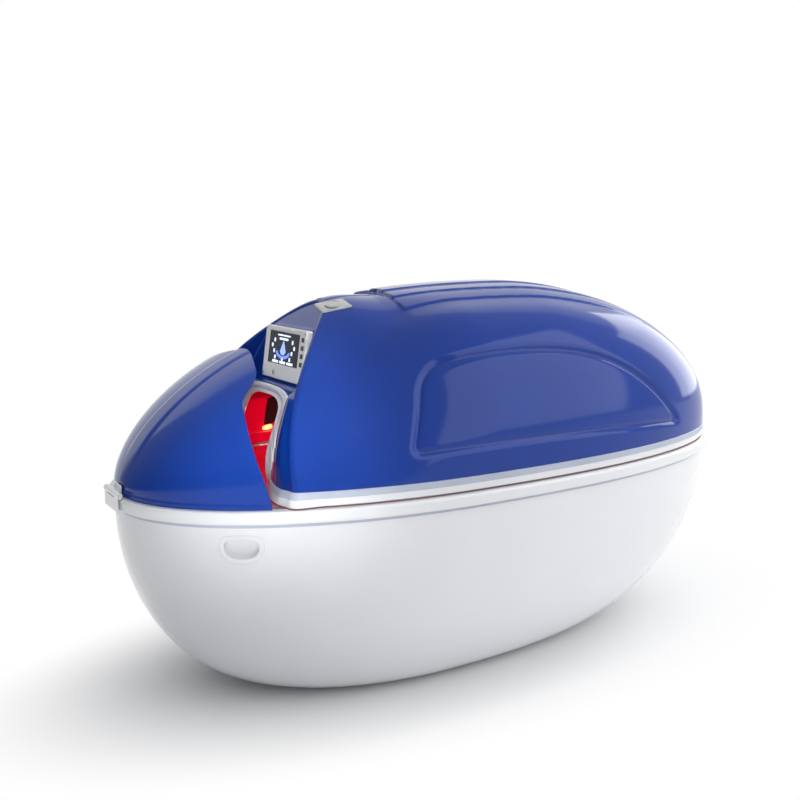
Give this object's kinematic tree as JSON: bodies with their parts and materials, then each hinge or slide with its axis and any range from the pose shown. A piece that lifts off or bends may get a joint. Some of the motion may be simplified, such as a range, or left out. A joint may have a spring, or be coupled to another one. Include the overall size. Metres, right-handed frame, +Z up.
{
  "type": "sauna pod",
  "caption": "Oval spa sauna pod: white tub, blue lid hinged at the foot end with gas struts, arched neck opening, console, and a blue hood over the head.",
  "frame": {"origin": "on the floor, below the middle of the object's box", "axes": "+X towards the foot end, +Y towards the far side, +Z up"},
  "size_m": [2.212, 1.0256, 1.1841],
  "materials": {
    "white_gelcoat": "polished white gelcoat",
    "blue_gelcoat": "high-gloss royal-blue gelcoat",
    "parting_gasket": "dark reddish foam rubber",
    "grey_seal": "grey-blue rubber lip",
    "black_rubber": "matt black rubber",
    "bright_steel": "brushed stainless steel",
    "black_strut": "satin black paint",
    "silver_console": "silver satin paint on plastic",
    "dark_screen": "glossy display window",
    "dark_plastic": "fine-grained dark plastic",
    "silver_badge": "satin silver plate",
    "black_heater": "matt black infrared panel",
    "warm_lamp": "warm lit diffuser",
    "red_lit_liner": "red lining under coloured light",
    "grey_machine": "grey machine casing",
    "base_board": "bare plywood",
    "milky_tank": "milky polyethylene",
    "dark_hose": "dark steam hose",
    "pillow_cover": "pale soft cover"
  },
  "bodies": {
    "tub": {"tub_shell": "white_gelcoat", "tub_rim": "white_gelcoat", "rim_gasket": "parting_gasket", "bed_tray": "red_lit_liner", "foot_deck": "red_lit_liner", "base_plate": "base_board", "rubber_foot_head_near": "black_rubber", "rubber_foot_head_far": "black_rubber", "rubber_foot_foot_near": "black_rubber", "rubber_foot_foot_far": "black_rubber", "grip_cup_near": "white_gelcoat", "grip_cup_far": "white_gelcoat", "power_inlet": "dark_plastic", "head_pillow": "pillow_cover", "steam_generator": "grey_machine", "water_tank": "milky_tank", "tank_cap": "dark_plastic", "control_box": "grey_machine", "steam_outlet": "bright_steel", "steam_pipe": "dark_hose", "blower_housing": "grey_machine", "lid_hinge_base": "bright_steel", "lid_hinge_pin": "bright_steel", "hood_hinge_base": "white_gelcoat", "hood_hinge_pin": "bright_steel", "strut_bracket_near": "bright_steel", "strut_bracket_far": "bright_steel"},
    "lid": {"lid_shell": "blue_gelcoat", "lid_flange": "white_gelcoat", "lid_seal": "grey_seal", "lid_fascia": "blue_gelcoat", "neck_trim": "white_gelcoat", "neck_seal": "grey_seal", "lid_liner": "red_lit_liner", "heater_panel_near": "black_heater", "heater_panel_far": "black_heater", "cabin_lamp_near": "warm_lamp", "cabin_lamp_far": "warm_lamp", "light_strip": "warm_lamp", "console_bezel": "silver_console", "console_screen": "dark_screen", "badge_plate": "silver_badge", "badge_disc": "bright_steel", "lid_hinge_leaf": "bright_steel", "strut_stud_near": "bright_steel", "strut_stud_far": "bright_steel"},
    "hood": {"hood_shell": "blue_gelcoat", "hood_hinge_leaf": "white_gelcoat"},
    "strut_tube_near": {"strut_tube_near": "black_strut"},
    "strut_tube_far": {"strut_tube_far": "black_strut"},
    "strut_rod_near": {"strut_rod_near": "bright_steel"},
    "strut_rod_far": {"strut_rod_far": "bright_steel"},
    "key_1": {"console_key_1": "dark_plastic"},
    "key_2": {"console_key_2": "dark_plastic"},
    "key_3": {"console_key_3": "dark_plastic"},
    "key_4": {"console_key_4": "dark_plastic"},
    "power_key": {"power_key": "bright_steel"},
    "impeller": {"blower_impeller": "dark_plastic"}
  },
  "joints": [
    {"name": "lid_hinge", "type": "hinge", "parent": "tub", "child": "lid", "pos_m": [1.097, 0, 0.6296], "axis": [0, 1, 0], "range_deg": [0, 45]},
    {"name": "hood_hinge", "type": "hinge", "parent": "tub", "child": "hood", "pos_m": [-1.097, 0, 0.6296], "axis": [0, -1, 0], "range_deg": [0, 75]},
    {"name": "strut_swing_near", "type": "hinge", "parent": "tub", "child": "strut_tube_near", "pos_m": [0.8, -0.17075, 0.27], "axis": [0, 1, 0], "range_deg": [0, 9.5]},
    {"name": "strut_swing_far", "type": "hinge", "parent": "tub", "child": "strut_tube_far", "pos_m": [0.8, 0.17075, 0.27], "axis": [0, 1, 0], "range_deg": [0, 9.5]},
    {"name": "strut_slide_near", "type": "slide", "parent": "strut_tube_near", "child": "strut_rod_near", "axis": [0, 0, 1], "range_m": [0, 0.2145]},
    {"name": "strut_slide_far", "type": "slide", "parent": "strut_tube_far", "child": "strut_rod_far", "axis": [0, 0, 1], "range_m": [0, 0.2145]},
    {"name": "key_press_1", "type": "slide", "parent": "lid", "child": "key_1", "axis": [0.9903, 0, -0.1386], "range_m": [0, 0.0015], "stiffness_N_per_m": 300, "springref_m": -0.001},
    {"name": "key_press_2", "type": "slide", "parent": "lid", "child": "key_2", "axis": [0.9903, 0, -0.1386], "range_m": [0, 0.0015], "stiffness_N_per_m": 300, "springref_m": -0.001},
    {"name": "key_press_3", "type": "slide", "parent": "lid", "child": "key_3", "axis": [0.9903, 0, -0.1386], "range_m": [0, 0.0015], "stiffness_N_per_m": 300, "springref_m": -0.001},
    {"name": "key_press_4", "type": "slide", "parent": "lid", "child": "key_4", "axis": [0.9903, 0, -0.1386], "range_m": [0, 0.0015], "stiffness_N_per_m": 300, "springref_m": -0.001},
    {"name": "power_press", "type": "slide", "parent": "lid", "child": "power_key", "axis": [0.9903, 0, -0.1386], "range_m": [0, 0.0015], "stiffness_N_per_m": 300, "springref_m": -0.001},
    {"name": "impeller_spin", "type": "hinge", "parent": "tub", "child": "impeller", "pos_m": [-0.3807, -0.09, 0.0246], "axis": [0, 0, 1], "continuous": true}
  ],
  "couplings": [
    {"joint": "strut_swing_near", "follows": "lid_hinge", "ratio": 0.20891},
    {"joint": "strut_swing_far", "follows": "lid_hinge", "ratio": 0.20891},
    {"joint": "strut_slide_near", "follows": "lid_hinge", "m_per_rad": 0.27279},
    {"joint": "strut_slide_far", "follows": "lid_hinge", "m_per_rad": 0.27279}
  ]
}
